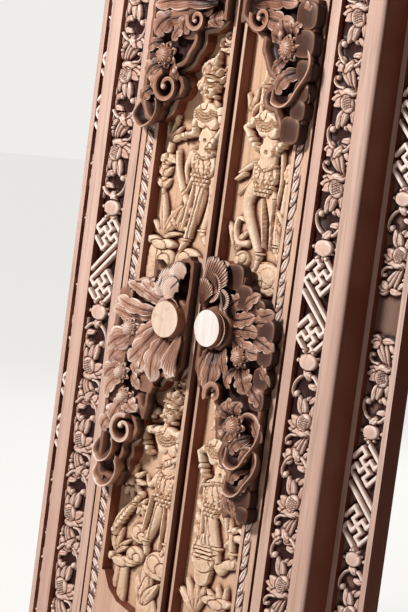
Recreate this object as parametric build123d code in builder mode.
"""A two-leaf carved temple door in its stepped wooden frame.

Millimetres. +Z is up, the front faces -Y, +X is to the right of someone who looks at the front.
The origin is the centre of the sill's underside. The back of the outer frame lies in the plane of the wall.
A carved piece is drawn for the right half of the door and mirrored for the left half.
"""

import math
import os

from build123d import *

# Clear opening between the jambs, above the sill.
OPENING_WIDTH = 712.0
OPENING_HEIGHT = 2095.0

# Sill and head.
SILL_HEIGHT = 100.0
HEAD_HEIGHT = 183.0
HEAD_CHANNEL = 107.0
LIP_HEIGHT = 12.0
LIP_END_SPACE = 25.0

# Depth of the frame, from its front to the wall plane, and the steps in it.
FRAME_DEPTH = 170.0
FILLET_STEP = 5.0
LEAF_STEP = 6.0
LIP_GAP = 0.5

# Widths across one side of the frame, from the opening outwards.
FILLET_WIDTH = 35.0
STRIP_WIDTH = 107.0
FLAT_WIDTH = 41.0
EDGE_BOARD = 19.0
EDGE_ROUND = 16.0
ARCHITRAVE_WIDTH = 137.0
ARCHITRAVE_BORDER = 19.0
ARCHITRAVE_THICK = 66.0

# Carved strips that are let into the frame.
STRIP_BOARD = 12.0
STRIP_SINK = 24.0
STRIP_RELIEF = 21.0
OUTER_SINK = 20.0
OUTER_RELIEF = 18.0
FIT = 0.2

# Tenons of the jambs and the pegs that lock them.
TENON_WIDTH = 110.0
TENON_THICK = 50.0
TENON_LENGTH = 70.0
PEG_RADIUS = 9.0
PEG_LENGTH = 120.0

# Leaves.
LEAF_THICK = 82.0
MEETING_GAP = 4.0
HINGE_GAP = 6.0
BOTTOM_GAP = 4.0
TOP_GAP = 5.0
AJAR_ANGLE = 4.0

# Pivots.
CORNER_RADIUS = 18.0
PIVOT_RADIUS = 10.0
SHANK_WIDTH = 20.0
PIVOT_FIT = 0.08
PIVOT_LET_IN = 60.0
SOCKET_DEPTH = 30.0
SOCKET_END_GAP = 0.3

# Front of a leaf, measured from the centre line of the door.
MEETING_BORDER = 13.0
FIELD_EDGE = 281.0
BEAD_WIDTH = 12.0
BORDER_WIDTH = 36.0
BORDER_SINK = 8.0
BORDER_RELIEF = 3.5
FIELD_SINK = 41.0
PANEL_THICK = 14.0

# The round boss, and the heights of the sunk fields' far ends above and below the ends of the leaf.
BOSS_HEIGHT = 1130.0
BOSS_OFFSET = 85.0
BOSS_RADIUS = 55.0
BOSS_PROUD = 60.0
FIELD_BOTTOM = 81.0
FIELD_CURVE = 99.0
FIELD_SHOULDER = 198.0
FIELD_STEP = 13.0
TOP_FIELD_EDGE = -125.0
LOBE_SWELL = 0.16
LOBE_STEPS = 3
BORDER_PITCH = 78.0

# Relief of the applied blocks and of the figures.
BLOCK_THICK = 34.0
LEAVES_PROUD = 46.0
CUPS_PROUD = 54.0
CUP_WALL = 7.0
CUP_HOLLOW = 30.0
CUP_SIDES = 8
PLANT_RELIEF = 16.0
DRESS_RELIEF = 22.0
FIGURE_RELIEF = 27.0

# Radii and heights of a carved figure at its joints.
HIP_RADIUS = 42.0
WAIST_RADIUS = 27.0
CHEST_RADIUS = 34.0
THIGH_RADIUS = 28.0
KNEE_RADIUS = 18.0
FOOT_RADIUS = 10.0
SHOULDER_RADIUS = 15.0
ELBOW_RADIUS = 10.0
HAND_RADIUS = 9.0
NECK_RADIUS = 17.0
HEAD_RADIUS = 26.0
CHIN_DROP = 17.0
BROW_RISE = 16.0
CROWN_WIDTH = 62.0
CLOTH_SPREAD = 4.0
SKIRT_RADIUS = 40.0
SASH_RADIUS = 9.0

# Carving on the frame: the fret fields are placed by their middle and length.
FRAME_CENTRE = BOSS_HEIGHT + 130.0
JAMB_FRET_LENGTH = 300.0
JAMB_FRET_STEP = 23.7
OUTER_FRET_OFFSET = 524.0
OUTER_FRET_LENGTH = 345.0
OUTER_FRET_STEP = 27.0
ROSETTE_RADIUS = 34.0
SCROLL_UNIT = 290.0
STEM_WIDTH = 11.0
CARVE_MARGIN = 1.5
FRET_PERIOD = 5

# Bars of one fret cell on its grid, each from one grid point to another.
FRET_BARS = [
    ((-1, 0), (1, 0)),
    ((0, -1), (0, 1)),
    ((1, 0), (1, 1)),
    ((-1, 0), (-1, -1)),
    ((0, 1), (-1, 1)),
    ((0, -1), (1, -1)),
    ((1, 1), (2, 1)),
    ((-1, -1), (-2, -1)),
    ((-1, 1), (-1, 2)),
    ((1, -1), (1, -2)),
    ((2, -1), (2, 1)),
    ((-2, -1), (-2, 1)),
]

# Sizes that follow from the ones above.
FRONT = -FRAME_DEPTH / 2
WALL = FRAME_DEPTH / 2
FILLET_FRONT = FRONT + FILLET_STEP
LEAF_FRONT = FRONT + LEAF_STEP
LEAF_BACK = LEAF_FRONT + LEAF_THICK
ARCHITRAVE_FRONT = WALL - ARCHITRAVE_THICK
BOSS_FRONT = FRONT - BOSS_PROUD
FIELD_GROUND = LEAF_FRONT + FIELD_SINK
STRIP_GROUND = FRONT + STRIP_SINK
OUTER_GROUND = ARCHITRAVE_FRONT + OUTER_SINK

JAMB_INNER = OPENING_WIDTH / 2
STRIP_INNER = JAMB_INNER + FILLET_WIDTH
STRIP_OUTER = STRIP_INNER + STRIP_WIDTH
JAMB_OUTER = STRIP_OUTER + FLAT_WIDTH
EDGE_OUTER = JAMB_OUTER + EDGE_BOARD
DOOR_OUTER = EDGE_OUTER + ARCHITRAVE_WIDTH
TENON_CENTRE = (JAMB_INNER + JAMB_OUTER) / 2

OPENING_TOP = SILL_HEIGHT + OPENING_HEIGHT
HEAD_TOP = OPENING_TOP + HEAD_HEIGHT
EDGE_TOP = HEAD_TOP + EDGE_BOARD
DOOR_TOP = EDGE_TOP + ARCHITRAVE_WIDTH

LEAF_BOTTOM = SILL_HEIGHT + BOTTOM_GAP
LEAF_TOP = OPENING_TOP - TOP_GAP
LEAF_EDGE = JAMB_INNER - HINGE_GAP
PIVOT_X = LEAF_EDGE - CORNER_RADIUS
PIVOT_Y = LEAF_BACK - CORNER_RADIUS


def swing_clear(y):
    """How far from the centre line a leaf stays at depth y, so that its edge clears the other leaf."""
    return PIVOT_X - math.sqrt(PIVOT_X**2 - (PIVOT_Y - y) ** 2) + MEETING_GAP / 8


MEETING_FRONT = max(swing_clear(LEAF_FRONT), MEETING_GAP / 2)
FIELD_INNER = MEETING_FRONT + MEETING_BORDER
FOLIAGE_INNER = swing_clear(LEAF_FRONT - CUPS_PROUD)
FOLIAGE_OUTER = LEAF_EDGE - CARVE_MARGIN
FOLIAGE_WIDTH = FOLIAGE_OUTER - FOLIAGE_INNER
FOLIAGE_MIDDLE = (FOLIAGE_OUTER + FOLIAGE_INNER) / 2


def front_plane(y):
    """A plane that faces the viewer at depth y, with its X and Y along the door's X and Z."""
    return Plane(origin=(0, y, 0), x_dir=(1, 0, 0), z_dir=(0, -1, 0))


def on_side(piece, side):
    """The piece itself for the right half of the door, its mirror image for the left half."""
    return piece if side > 0 else mirror(piece, about=Plane.YZ)


def hang(piece, side):
    """A piece of a leaf where that leaf stands: the left one is shut, the right one a little ajar."""
    if side < 0:
        return on_side(piece, side)
    return piece.rotate(Axis((PIVOT_X, PIVOT_Y, 0), (0, 0, 1)), -AJAR_ANGLE)


def save(piece, name):
    piece.label = name
    export_step(piece, f"parts/{name}.step")


# Outlines, as lists of points
def leaf_points(length, width, steps=3):
    """A pointed leaf, its base at the origin and its tip on the local Y axis."""
    points = []
    for k in range(2 * steps):
        along = k / steps if k <= steps else 2 - k / steps
        side = 1 if k < steps else -1
        points.append((side * width / 2 * math.sin(math.pi * along**0.8), length * along))
    return points


def flower_points(petals, radius, notch):
    """A flat flower: a star with as many points as petals."""
    points = []
    for k in range(2 * petals):
        reach = notch if k % 2 else radius
        angle = math.pi * k / petals
        points.append((reach * math.cos(angle), reach * math.sin(angle)))
    return points


def stem_points(start, end, width):
    """A straight stem between two points."""
    length = math.dist(start, end)
    off_x = (end[1] - start[1]) / length * width / 2
    off_z = (start[0] - end[0]) / length * width / 2
    return [
        (start[0] + off_x, start[1] + off_z),
        (end[0] + off_x, end[1] + off_z),
        (end[0] - off_x, end[1] - off_z),
        (start[0] - off_x, start[1] - off_z),
    ]


def limb_points(start, start_radius, end, end_radius):
    """A tapered limb between two joints, square at its start and with a blunt point past its end."""
    length = math.dist(start, end)
    along_x = (end[0] - start[0]) / length
    along_z = (end[1] - start[1]) / length
    return [
        (start[0] + start_radius * along_z, start[1] - start_radius * along_x),
        (end[0] + end_radius * along_z, end[1] - end_radius * along_x),
        (end[0] + end_radius * along_x, end[1] + end_radius * along_z),
        (end[0] - end_radius * along_z, end[1] + end_radius * along_x),
        (start[0] - start_radius * along_z, start[1] + start_radius * along_x),
    ]


def flower_points_at(centre, radius):
    """A six-petalled flower about a centre."""
    return [(centre[0] + x, centre[1] + z) for x, z in flower_points(6, radius, radius * 0.6)]


def place(points, x, z, angle=0.0):
    """Adds an outline to the sketch that is open, turned by angle degrees about its own origin."""
    with Locations(Location((x, z, 0), (0, 0, angle))):
        Polygon(*points, align=None)


# Frame
def make_sill():
    with BuildPart() as sill:
        with BuildSketch(Plane.XY):
            Rectangle(2 * JAMB_OUTER, FRAME_DEPTH)
        extrude(amount=SILL_HEIGHT)
        with BuildSketch(Plane.XY.offset(SILL_HEIGHT)):
            with Locations((0, FRONT + (LEAF_STEP - LIP_GAP) / 2)):
                Rectangle(2 * (PIVOT_X - LIP_END_SPACE), LEAF_STEP - LIP_GAP)
        extrude(amount=LIP_HEIGHT)
        for side in (-1, 1):
            with Locations((side * PIVOT_X, PIVOT_Y, SILL_HEIGHT)):
                Hole(PIVOT_RADIUS + PIVOT_FIT, depth=SOCKET_DEPTH + SOCKET_END_GAP)
            with BuildSketch(Plane.XY.offset(SILL_HEIGHT)):
                with Locations((side * TENON_CENTRE, 0)):
                    Rectangle(TENON_WIDTH + 2 * FIT, TENON_THICK + 2 * FIT)
            extrude(amount=-TENON_LENGTH - FIT, mode=Mode.SUBTRACT)
            with BuildSketch(front_plane(WALL)):
                with Locations((side * TENON_CENTRE, SILL_HEIGHT - TENON_LENGTH / 2)):
                    RegularPolygon(PEG_RADIUS + FIT, 8)
            extrude(amount=PEG_LENGTH, mode=Mode.SUBTRACT)
    return sill.part


def make_head():
    """The lintel carries the same fillet, channel and flat as the jambs, without carving."""
    channel_bottom = OPENING_TOP + FILLET_WIDTH
    channel_top = channel_bottom + HEAD_CHANNEL
    with BuildPart() as head:
        with BuildSketch(Plane.YZ.offset(-JAMB_OUTER)):
            with BuildLine():
                Polyline(
                    (WALL, OPENING_TOP),
                    (FILLET_FRONT, OPENING_TOP),
                    (FILLET_FRONT, channel_bottom),
                    (STRIP_GROUND, channel_bottom),
                    (STRIP_GROUND, channel_top),
                    (FRONT, channel_top),
                    (FRONT, HEAD_TOP),
                    (WALL, HEAD_TOP),
                    close=True,
                )
            make_face()
        extrude(amount=2 * JAMB_OUTER)
        with BuildSketch(Plane.XY.offset(OPENING_TOP)):
            with Locations((0, FRONT + (LEAF_STEP - LIP_GAP) / 2)):
                Rectangle(2 * (PIVOT_X - LIP_END_SPACE), LEAF_STEP - LIP_GAP)
        extrude(amount=-LIP_HEIGHT)
        for side in (-1, 1):
            with Locations(Location((side * PIVOT_X, PIVOT_Y, OPENING_TOP), (180, 0, 0))):
                Hole(PIVOT_RADIUS + PIVOT_FIT, depth=SOCKET_DEPTH + SOCKET_END_GAP)
            with BuildSketch(Plane.XY.offset(OPENING_TOP)):
                with Locations((side * TENON_CENTRE, 0)):
                    Rectangle(TENON_WIDTH + 2 * FIT, TENON_THICK + 2 * FIT)
            extrude(amount=TENON_LENGTH + FIT, mode=Mode.SUBTRACT)
            with BuildSketch(front_plane(WALL)):
                with Locations((side * TENON_CENTRE, OPENING_TOP + TENON_LENGTH / 2)):
                    RegularPolygon(PEG_RADIUS + FIT, 8)
            extrude(amount=PEG_LENGTH, mode=Mode.SUBTRACT)
    return head.part


def make_jamb():
    """The right jamb, with a groove for the carved strip and a tenon at each end."""
    groove = STRIP_GROUND + STRIP_BOARD
    with BuildPart() as jamb:
        with BuildSketch(Plane.XY.offset(SILL_HEIGHT)):
            with BuildLine():
                Polyline(
                    (JAMB_INNER, WALL),
                    (JAMB_INNER, FILLET_FRONT),
                    (STRIP_INNER, FILLET_FRONT),
                    (STRIP_INNER, groove),
                    (STRIP_OUTER, groove),
                    (STRIP_OUTER, FRONT),
                    (JAMB_OUTER, FRONT),
                    (JAMB_OUTER, WALL),
                    close=True,
                )
            make_face()
        extrude(amount=OPENING_HEIGHT)
        with BuildSketch(Plane.XY.offset(SILL_HEIGHT - TENON_LENGTH)):
            with Locations((TENON_CENTRE, 0)):
                Rectangle(TENON_WIDTH, TENON_THICK)
        extrude(amount=OPENING_HEIGHT + 2 * TENON_LENGTH)
        with BuildSketch(front_plane(WALL)):
            with Locations(
                (TENON_CENTRE, SILL_HEIGHT - TENON_LENGTH / 2),
                (TENON_CENTRE, OPENING_TOP + TENON_LENGTH / 2),
            ):
                RegularPolygon(PEG_RADIUS + FIT, 8)
        extrude(amount=PEG_LENGTH, mode=Mode.SUBTRACT)
    return jamb.part


def make_pegs():
    with BuildPart() as pegs:
        with BuildSketch(front_plane(WALL)):
            for side in (-1, 1):
                with Locations(
                    (side * TENON_CENTRE, SILL_HEIGHT - TENON_LENGTH / 2),
                    (side * TENON_CENTRE, OPENING_TOP + TENON_LENGTH / 2),
                ):
                    RegularPolygon(PEG_RADIUS, 8)
        extrude(amount=PEG_LENGTH)
    return pegs.part


def make_edge_board():
    """The board that covers the outer face of the right jamb, rounded at its outer front corner."""
    with BuildPart() as board:
        with BuildSketch(Plane.XY):
            with BuildLine():
                Polyline(
                    (EDGE_OUTER, FRONT + EDGE_ROUND),
                    (EDGE_OUTER, WALL),
                    (JAMB_OUTER, WALL),
                    (JAMB_OUTER, FRONT),
                    (EDGE_OUTER - EDGE_ROUND, FRONT),
                )
                RadiusArc((EDGE_OUTER - EDGE_ROUND, FRONT), (EDGE_OUTER, FRONT + EDGE_ROUND), -EDGE_ROUND)
            make_face()
        extrude(amount=EDGE_TOP)
    return board.part


def make_head_edge_board():
    with BuildPart() as board:
        with BuildSketch(Plane.YZ.offset(-JAMB_OUTER)):
            with BuildLine():
                Polyline(
                    (FRONT + EDGE_ROUND, EDGE_TOP),
                    (WALL, EDGE_TOP),
                    (WALL, HEAD_TOP),
                    (FRONT, HEAD_TOP),
                    (FRONT, EDGE_TOP - EDGE_ROUND),
                )
                RadiusArc((FRONT, EDGE_TOP - EDGE_ROUND), (FRONT + EDGE_ROUND, EDGE_TOP), EDGE_ROUND)
            make_face()
        extrude(amount=2 * JAMB_OUTER)
    return board.part


def make_architrave():
    """The outer step of the frame on the right, with a groove for its carved strip."""
    groove = OUTER_GROUND + STRIP_BOARD
    with BuildPart() as board:
        with BuildSketch(Plane.XY):
            with BuildLine():
                Polyline(
                    (EDGE_OUTER, WALL),
                    (EDGE_OUTER, ARCHITRAVE_FRONT),
                    (EDGE_OUTER + ARCHITRAVE_BORDER, ARCHITRAVE_FRONT),
                    (EDGE_OUTER + ARCHITRAVE_BORDER, groove),
                    (DOOR_OUTER - ARCHITRAVE_BORDER, groove),
                    (DOOR_OUTER - ARCHITRAVE_BORDER, ARCHITRAVE_FRONT),
                    (DOOR_OUTER, ARCHITRAVE_FRONT),
                    (DOOR_OUTER, WALL),
                    close=True,
                )
            make_face()
        extrude(amount=EDGE_TOP)
    return board.part


def make_head_architrave():
    with BuildPart() as board:
        with BuildSketch(front_plane(WALL)):
            with Locations((0, (EDGE_TOP + DOOR_TOP) / 2)):
                Rectangle(2 * DOOR_OUTER, ARCHITRAVE_WIDTH)
        extrude(amount=ARCHITRAVE_THICK)
    return board.part


# Carved strips of the frame
def sketch_fret(centre_x, centre_z, width, length, step):
    """Interlocking key fret on a grid turned by 45 degrees. The bars and the gaps are equally wide."""
    bar = step / 2
    diagonal = step / math.sqrt(2)
    reach = 2 * width + length
    with BuildSketch(front_plane(0)) as fret:
        for cell in (-0.5, 0.5):
            middle_z = centre_z + cell * FRET_PERIOD * 2 * diagonal
            for first, second in FRET_BARS:
                rise = (first[0] + second[0]) / 2
                fall = (first[1] + second[1]) / 2
                x = centre_x + (fall - rise) * diagonal
                z = middle_z + (rise + fall) * diagonal
                long_side = step * math.dist(first, second) + bar
                turn = 135 if first[1] == second[1] else 45
                with Locations(Location((x, z, 0), (0, 0, turn))):
                    Rectangle(long_side, bar)
            for row in (-2 * diagonal, 2 * diagonal):
                with Locations(Location((centre_x + row, middle_z + row, 0), (0, 0, 135))):
                    Rectangle(reach, bar)
        with Locations((centre_x, centre_z)):
            Rectangle(width, length, mode=Mode.INTERSECT)
    return fret.sketch


def sketch_scroll(centre_x, bottom, top, width):
    """A running scroll: a stem that turns from side to side, with a flower and a broad leaf at each turn."""
    count = max(1, round((top - bottom) / SCROLL_UNIT))
    unit = (top - bottom) / count
    half = width / 2
    sway = half * 0.35
    with BuildSketch(front_plane(0)) as scroll:
        for k in range(count):
            hand = 1 if k % 2 else -1
            low = bottom + k * unit
            place(stem_points((-hand * sway, low), (hand * sway, low + unit), STEM_WIDTH), centre_x, 0)
            place(flower_points(4, half * 0.6, half * 0.4), centre_x + hand * half * 0.42, low + unit * 0.22)
            leaf = leaf_points(unit * 0.6, half * 0.85, 2)
            place(leaf, centre_x - hand * half * 0.2, low + unit * 0.3, -12 * hand)
        with Locations((centre_x, (bottom + top) / 2)):
            Rectangle(width, top - bottom, mode=Mode.INTERSECT)
    return scroll.sketch


def make_carved_strip(centre_x, width, bottom, top, ground, relief, fields, step):
    """A let-in board whose relief is a scroll with fields of key fret between half rosettes."""
    edge = CARVE_MARGIN
    carve_width = width - 2 * edge
    stretches = []
    low = bottom + edge
    for middle, length in fields:
        stretches.append((low, middle - length / 2 - ROSETTE_RADIUS))
        low = middle + length / 2 + ROSETTE_RADIUS
    stretches.append((low, top - edge))
    with BuildPart() as strip:
        with BuildSketch(front_plane(ground + STRIP_BOARD)):
            with Locations((centre_x, (bottom + top) / 2)):
                Rectangle(width, top - bottom)
        extrude(amount=STRIP_BOARD)
        with BuildSketch(front_plane(ground)):
            for low, high in stretches:
                add(sketch_scroll(centre_x, low, high, carve_width))
            for middle, length in fields:
                add(sketch_fret(centre_x, middle, carve_width, length, step))
                for end in (-1, 1):
                    rosette_z = middle + end * (length + ROSETTE_RADIUS) / 2
                    place(flower_points(4, ROSETTE_RADIUS, ROSETTE_RADIUS * 0.8), centre_x, rosette_z)
        extrude(amount=relief)
    return strip.part



# Leaves, drawn for the right half with all heights on them measured from the centre of the boss
def lobes(points, swell):
    """Points of a scalloped edge: a bulge of swell times its chord between each two of the given points."""
    edge = []
    for start, end in zip(points, points[1:]):
        run_x = end[0] - start[0]
        run_z = end[1] - start[1]
        for step in range(LOBE_STEPS):
            share = step / LOBE_STEPS
            bulge = swell * math.sin(math.pi * share)
            edge.append((start[0] + share * run_x - bulge * run_z, start[1] + share * run_z + bulge * run_x))
    return edge + [points[-1]]


def raised(points, base):
    """Points whose heights are given from a base height."""
    return [(x, base + z) for x, z in points]


def sketch_upper_field():
    """The sunk field above the boss. Its ends follow the lobes of the carved blocks."""
    low = raised([(FIELD_INNER, 195), (95, 187), (165, 135), (224, 99), (FIELD_EDGE, 95)], BOSS_HEIGHT)
    high = [
        (FIELD_EDGE, -470),
        (249, -463),
        (209, -404),
        (171, -360),
        (197, -316),
        (141, -260),
        (121, -192),
        (FIELD_INNER, TOP_FIELD_EDGE),
    ]
    with BuildSketch(front_plane(0)) as field:
        Polygon(*lobes(low, LOBE_SWELL), *lobes(raised(high, LEAF_TOP), LOBE_SWELL), align=None)
    return field.sketch


def sketch_lower_field():
    """The sunk field below the boss, with a stepped and curved lower end."""
    step_x = FIELD_EDGE - FIELD_STEP
    low = [(FIELD_INNER, FIELD_BOTTOM), ((FIELD_INNER + step_x) / 2, FIELD_CURVE), (step_x, FIELD_SHOULDER)]
    high = [
        (FIELD_EDGE, -535),
        (234, -522),
        (219, -470),
        (207, -420),
        (179, -375),
        (207, -309),
        (182, -242),
        (105, -192),
        (FIELD_INNER, -150),
    ]
    shoulder = (FIELD_EDGE, LEAF_BOTTOM + FIELD_SHOULDER)
    with BuildSketch(front_plane(0)) as field:
        Polygon(
            *lobes(raised(low, LEAF_BOTTOM), -LOBE_SWELL),
            shoulder,
            *lobes(raised(high, BOSS_HEIGHT), LOBE_SWELL),
            align=None,
        )
    return field.sketch


def make_leaf(upper_field, lower_field):
    """The solid board of one leaf: rounded at the pivots, bevelled where the leaves meet."""
    border_inner = FIELD_EDGE + BEAD_WIDTH
    border_middle = border_inner + BORDER_WIDTH / 2
    with BuildPart() as leaf:
        with BuildSketch(Plane.XY.offset(LEAF_BOTTOM)):
            with BuildLine():
                Polyline(
                    (PIVOT_X, LEAF_BACK),
                    (MEETING_GAP / 2, LEAF_BACK),
                    (MEETING_GAP / 2, PIVOT_Y),
                    (MEETING_FRONT, LEAF_FRONT),
                    (LEAF_EDGE, LEAF_FRONT),
                    (LEAF_EDGE, PIVOT_Y),
                )
                RadiusArc((LEAF_EDGE, PIVOT_Y), (PIVOT_X, LEAF_BACK), -CORNER_RADIUS)
            make_face()
        extrude(amount=LEAF_TOP - LEAF_BOTTOM)
        with BuildSketch(front_plane(LEAF_FRONT)):
            add(upper_field)
            add(lower_field)
        extrude(amount=-FIELD_SINK - PANEL_THICK, mode=Mode.SUBTRACT)
        with BuildSketch(front_plane(LEAF_FRONT)):
            with Locations((border_middle, (LEAF_TOP + LEAF_BOTTOM) / 2)):
                Rectangle(BORDER_WIDTH, LEAF_TOP - LEAF_BOTTOM - 2 * BORDER_WIDTH)
        extrude(amount=-BORDER_SINK, mode=Mode.SUBTRACT)
        low = LEAF_BOTTOM + BORDER_WIDTH
        high = LEAF_TOP - BORDER_WIDTH
        count = round((high - low) / BORDER_PITCH)
        pitch = (high - low) / count
        with BuildSketch(front_plane(LEAF_FRONT + BORDER_SINK)):
            for k in range(count):
                sway = BORDER_WIDTH * 0.2 * (1 if k % 2 else -1)
                petal = leaf_points(pitch * 0.96, BORDER_WIDTH * 0.56, 2)
                place(petal, border_middle + sway, low + k * pitch, -sway)
            with Locations((border_middle, (low + high) / 2)):
                Rectangle(BORDER_WIDTH - 2 * CARVE_MARGIN, high - low - 2 * CARVE_MARGIN, mode=Mode.INTERSECT)
        extrude(amount=BORDER_RELIEF)
        for end_z, direction in ((LEAF_TOP, 1), (LEAF_BOTTOM, -1)):
            with BuildSketch(Plane.XY.offset(end_z)):
                with Locations((PIVOT_X, PIVOT_Y)):
                    Rectangle(SHANK_WIDTH, SHANK_WIDTH)
            extrude(amount=-direction * PIVOT_LET_IN, mode=Mode.SUBTRACT)
    return leaf.part


def make_pivot(end_z, direction):
    """A pin with a square shank in the leaf and a round end past it, in the socket of the sill or head."""
    gap = BOTTOM_GAP if direction < 0 else TOP_GAP
    with BuildPart() as pin:
        with BuildSketch(Plane.XY.offset(end_z)):
            with Locations((PIVOT_X, PIVOT_Y)):
                Rectangle(SHANK_WIDTH, SHANK_WIDTH)
        extrude(amount=-direction * PIVOT_LET_IN)
        with BuildSketch(Plane.XY.offset(end_z)):
            with Locations((PIVOT_X, PIVOT_Y)):
                Circle(PIVOT_RADIUS)
        extrude(amount=direction * (gap + SOCKET_DEPTH))
    return pin.part


def sketch_block(outline, base, fields):
    """The outline of a carved block, kept a bead's width off the sunk fields."""
    with BuildSketch(front_plane(0)) as block:
        Polygon(*raised(outline, base), align=None)
        with Locations((FOLIAGE_MIDDLE, base)):
            Rectangle(FOLIAGE_WIDTH, 2 * DOOR_TOP, mode=Mode.INTERSECT)
        for field in fields:
            kept_off = offset(field, amount=BEAD_WIDTH, kind=Kind.INTERSECTION, mode=Mode.PRIVATE)
            add(kept_off, mode=Mode.SUBTRACT)
    return block.sketch


def make_foliage(block, base, leaves, cups, flowers):
    """An applied block with leaves carved on it, and hollow volutes and flowers a step prouder than those.

    Heights are given from base. What reaches the boss is bored out to seat it.
    """
    with BuildPart() as foliage:
        with BuildSketch(front_plane(LEAF_FRONT)):
            add(block)
        extrude(amount=BLOCK_THICK)
        with BuildSketch(front_plane(LEAF_FRONT)):
            for x, z, length, width, angle in leaves:
                place(leaf_points(length, width), x, base + z, angle)
            with Locations((FOLIAGE_MIDDLE, base)):
                Rectangle(FOLIAGE_WIDTH, 2 * DOOR_TOP, mode=Mode.INTERSECT)
        extrude(amount=LEAVES_PROUD)
        with BuildSketch(front_plane(LEAF_FRONT)):
            for x, z, radius in cups:
                with Locations((x, base + z)):
                    RegularPolygon(radius, CUP_SIDES)
            for x, z, radius in flowers:
                place(flower_points(6, radius, radius * 0.6), x, base + z)
        extrude(amount=CUPS_PROUD)
        with BuildSketch(front_plane(LEAF_FRONT - CUPS_PROUD)):
            for x, z, radius in cups:
                with Locations((x, base + z)):
                    RegularPolygon(radius - CUP_WALL, CUP_SIDES)
        extrude(amount=-CUP_HOLLOW, mode=Mode.SUBTRACT)
        with BuildSketch(front_plane(LEAF_FRONT)):
            with Locations((BOSS_OFFSET, BOSS_HEIGHT)):
                Circle(BOSS_RADIUS + FIT)
        extrude(amount=BOSS_PROUD, mode=Mode.SUBTRACT)
    return foliage.part


def make_boss():
    """The plain round knob, let into the block down to the face of the leaf."""
    with BuildPart() as boss:
        with BuildSketch(front_plane(LEAF_FRONT)):
            with Locations((BOSS_OFFSET, BOSS_HEIGHT)):
                Circle(BOSS_RADIUS)
        extrude(amount=LEAF_FRONT - BOSS_FRONT)
    return boss.part


def make_panel(field, body, dress, plants):
    """A figure carved in one with its ground: the dress is lower than the body, the plants lower still."""
    with BuildSketch(front_plane(0)) as ground:
        offset(add(field), amount=-FIT, kind=Kind.INTERSECTION)
    with BuildPart() as panel:
        with BuildSketch(front_plane(FIELD_GROUND + PANEL_THICK)):
            add(ground.sketch)
        extrude(amount=PANEL_THICK)
        for relief, shapes in ((PLANT_RELIEF, plants), (DRESS_RELIEF, dress), (FIGURE_RELIEF, body)):
            with BuildSketch(front_plane(FIELD_GROUND)):
                for shape in shapes:
                    Polygon(*raised(shape, BOSS_HEIGHT), align=None)
                add(ground.sketch, mode=Mode.INTERSECT)
            extrude(amount=relief)
    return panel.part


def figure_body(joints, crown):
    """Outlines of the body from its joints: chest, waist, hips, legs, arms, head and a pointed crown."""
    hip, waist, neck, head = joints["hip"], joints["waist"], joints["neck"], joints["head"]
    chin = (head[0], head[1] - CHIN_DROP)
    brow = (head[0], head[1] + CHIN_DROP)
    shapes = [
        limb_points(hip, HIP_RADIUS, waist, WAIST_RADIUS),
        limb_points(waist, WAIST_RADIUS, neck, CHEST_RADIUS),
        limb_points(chin, NECK_RADIUS, brow, HEAD_RADIUS),
        raised(at_x(crown_points(crown), head[0]), head[1]),
    ]
    for knee, foot in zip(joints["knees"], joints["feet"]):
        shapes.append(limb_points(hip, THIGH_RADIUS, knee, KNEE_RADIUS))
        shapes.append(limb_points(knee, KNEE_RADIUS, foot, FOOT_RADIUS))
    for shoulder, elbow, hand in joints["arms"]:
        shapes.append(limb_points(shoulder, SHOULDER_RADIUS, elbow, ELBOW_RADIUS))
        shapes.append(limb_points(elbow, ELBOW_RADIUS, hand, HAND_RADIUS))
    return shapes


def figure_dress(joints):
    """Outlines of the cloth: a skirt from the hips to between the knees and a sash that hangs before it."""
    hip = joints["hip"]
    knees = joints["knees"]
    between = ((knees[0][0] + knees[1][0]) / 2, (knees[0][1] + knees[1][1]) / 2)
    shapes = [limb_points(hip, HIP_RADIUS + CLOTH_SPREAD, between, SKIRT_RADIUS)]
    for start, end in joints["sashes"]:
        shapes.append(limb_points(start, SASH_RADIUS, end, SASH_RADIUS))
    return shapes


def crown_points(height):
    """A band across the brow, two side leaves and a pointed middle, about the centre of the head."""
    band = CROWN_WIDTH / 2
    return [
        (-band, BROW_RISE),
        (band, BROW_RISE),
        (band, 0.6 * height),
        (0.5 * band, 0.5 * height),
        (0, height),
        (-0.5 * band, 0.5 * height),
        (-band, 0.6 * height),
    ]


def at_x(points, base):
    """Points whose places across are given from a base."""
    return [(base + x, z) for x, z in points]


FIGURES = {
    "left_upper": {
        "hip": (88, 488),
        "waist": (84, 550),
        "neck": (95, 640),
        "head": (97, 705),
        "knees": [(40, 398), (94, 352)],
        "feet": [(60, 250), (130, 225)],
        "arms": [((135, 636), (138, 566), (180, 556)), ((48, 646), (24, 592), (62, 535))],
        "sashes": [((88, 480), (78, 420)), ((150, 480), (128, 380))],
    },
    "right_upper": {
        "hip": (158, 485),
        "waist": (160, 548),
        "neck": (148, 640),
        "head": (138, 700),
        "knees": [(94, 384), (200, 380)],
        "feet": [(168, 215), (240, 245)],
        "arms": [((116, 648), (60, 608), (104, 558)), ((200, 648), (255, 608), (208, 558))],
        "sashes": [((158, 480), (148, 400)), ((105, 470), (50, 405))],
    },
    "left_lower": {
        "hip": (68, -500),
        "waist": (64, -436),
        "neck": (84, -350),
        "head": (91, -296),
        "knees": [(94, -618), (44, -600)],
        "feet": [(122, -725), (52, -722)],
        "arms": [((126, -354), (188, -362), (166, -425)), ((42, -354), (26, -424), (62, -444))],
        "sashes": [((68, -490), (74, -550)), ((122, -500), (160, -515))],
    },
    "right_lower": {
        "hip": (126, -495),
        "waist": (148, -430),
        "neck": (122, -350),
        "head": (113, -292),
        "knees": [(124, -585), (192, -585)],
        "feet": [(162, -685), (228, -670)],
        "arms": [((98, -352), (46, -384), (68, -445)), ((156, -352), (194, -400), (176, -450))],
        "sashes": [((120, -490), (128, -560)), ((68, -448), (42, -512))],
    },
}
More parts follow.
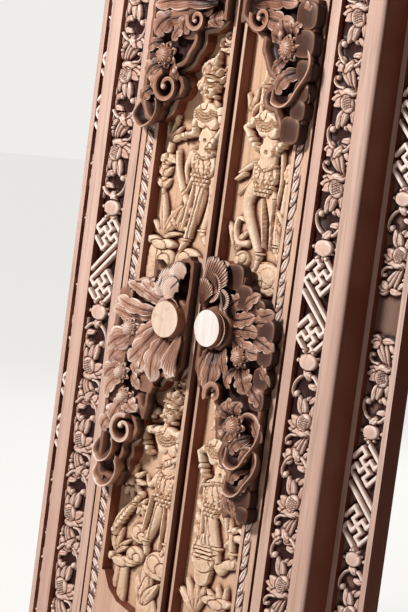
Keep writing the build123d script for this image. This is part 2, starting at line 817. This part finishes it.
CROWNS = {"left_upper": 92, "right_upper": 84, "left_lower": 60, "right_lower": 58}

PLANTS = {
    "left_upper": [
        limb_points((230, 235), 26, (245, 460), 12),
        limb_points((205, 230), 10, (200, 600), 8),
        limb_points((150, 250), 12, (190, 480), 20),
    ],
    "right_upper": [
        limb_points((180, 205), 30, (60, 215), 22),
        limb_points((218, 240), 7, (222, 700), 5),
        limb_points((120, 490), 10, (40, 400), 8),
        limb_points((60, 240), 9, (50, 330), 9),
    ],
    "left_lower": [
        limb_points((270, -800), 22, (275, -690), 12),
        limb_points((272, -690), 11, (225, -560), 9),
        flower_points_at((215, -530), 32),
        limb_points((150, -900), 34, (120, -760), 26),
        limb_points((235, -880), 14, (215, -780), 20),
    ],
    "right_lower": [
        limb_points((120, -760), 40, (190, -760), 46),
        limb_points((60, -860), 9, (90, -780), 7),
        limb_points((180, -900), 12, (170, -810), 9),
        limb_points((100, -640), 16, (90, -560), 8),
    ],
}

CENTRE_OUTLINE = [
    (0, 225),
    (FIELD_EDGE + BEAD_WIDTH, 84),
    (300, 25),
    (328, -10),
    (328, -500),
    (316, -548),
    (0, -548),
]
CENTRE_CUPS = [(216, -359, 46), (284, -436, 40), (267, -494, 42)]
CENTRE_FLOWERS = [(238, -48, 34), (150, -215, 30), (262, -250, 32)]
CENTRE_LEAVES = [
    (120, 20, 150, 60, -70),
    (125, 60, 130, 55, -30),
    (60, 110, 95, 52, 10),
    (135, -30, 205, 62, -98),
    (130, -50, 205, 62, -112),
    (120, -70, 180, 60, -130),
    (70, -70, 120, 56, -190),
    (250, -150, 130, 55, -165),
    (180, -180, 150, 55, -190),
    (290, -260, 120, 50, -185),
    (240, -480, 70, 44, -190),
]
TOP_OUTLINE = [(0, -155), (110, -280), (FIELD_EDGE, -475), (306, -470), (336, -420), (336, -60), (0, -60)]
TOP_CUPS = [(200, -360, 40), (282, -438, 42)]
TOP_FLOWERS = [(250, -260, 34), (120, -130, 30), (300, -340, 26)]
TOP_LEAVES = [
    (300, -100, 150, 60, 170),
    (180, -100, 150, 60, 195),
    (60, -75, 90, 60, 150),
    (230, -160, 120, 54, 130),
]


def main():
    os.makedirs("parts", exist_ok=True)
    save(make_sill(), "sill")
    save(make_head(), "head")
    save(make_pegs(), "frame_pegs")
    save(make_head_edge_board(), "head_edge_moulding")
    save(make_head_architrave(), "head_architrave")
    jamb_carving = make_carved_strip(
        centre_x=(STRIP_INNER + STRIP_OUTER) / 2,
        width=STRIP_WIDTH,
        bottom=SILL_HEIGHT,
        top=OPENING_TOP,
        ground=STRIP_GROUND,
        relief=STRIP_RELIEF,
        fields=[(FRAME_CENTRE, JAMB_FRET_LENGTH)],
        step=JAMB_FRET_STEP,
    )
    outer_carving = make_carved_strip(
        centre_x=(EDGE_OUTER + DOOR_OUTER) / 2,
        width=ARCHITRAVE_WIDTH - 2 * ARCHITRAVE_BORDER,
        bottom=0,
        top=EDGE_TOP,
        ground=OUTER_GROUND,
        relief=OUTER_RELIEF,
        fields=[(FRAME_CENTRE + end * OUTER_FRET_OFFSET, OUTER_FRET_LENGTH) for end in (-1, 1)],
        step=OUTER_FRET_STEP,
    )
    upper_field = sketch_upper_field()
    lower_field = sketch_lower_field()
    leaf = make_leaf(upper_field, lower_field)
    centre_block = sketch_block(CENTRE_OUTLINE, BOSS_HEIGHT, (upper_field, lower_field))
    centre_foliage = make_foliage(centre_block, BOSS_HEIGHT, CENTRE_LEAVES, CENTRE_CUPS, CENTRE_FLOWERS)
    top_block = sketch_block(TOP_OUTLINE, LEAF_TOP, (upper_field,))
    top_foliage = make_foliage(top_block, LEAF_TOP, TOP_LEAVES, TOP_CUPS, TOP_FLOWERS)

    for side, word in ((-1, "left"), (1, "right")):
        save(on_side(make_jamb(), side), f"{word}_jamb")
        save(on_side(jamb_carving, side), f"{word}_jamb_carving")
        save(on_side(make_edge_board(), side), f"{word}_edge_moulding")
        save(on_side(make_architrave(), side), f"{word}_architrave")
        save(on_side(outer_carving, side), f"{word}_architrave_carving")
        save(hang(leaf, side), f"{word}_leaf")
        save(hang(centre_foliage, side), f"{word}_centre_foliage")
        save(hang(top_foliage, side), f"{word}_top_foliage")
        save(hang(make_boss(), side), f"{word}_boss")
        save(hang(make_pivot(LEAF_TOP, 1), side), f"{word}_top_pivot")
        save(hang(make_pivot(LEAF_BOTTOM, -1), side), f"{word}_bottom_pivot")
        for level, field in (("upper", upper_field), ("lower", lower_field)):
            name = f"{word}_{level}"
            joints = FIGURES[name]
            panel = make_panel(field, figure_body(joints, CROWNS[name]), figure_dress(joints), PLANTS[name])
            save(hang(panel, side), f"{name}_figure_panel")


main()
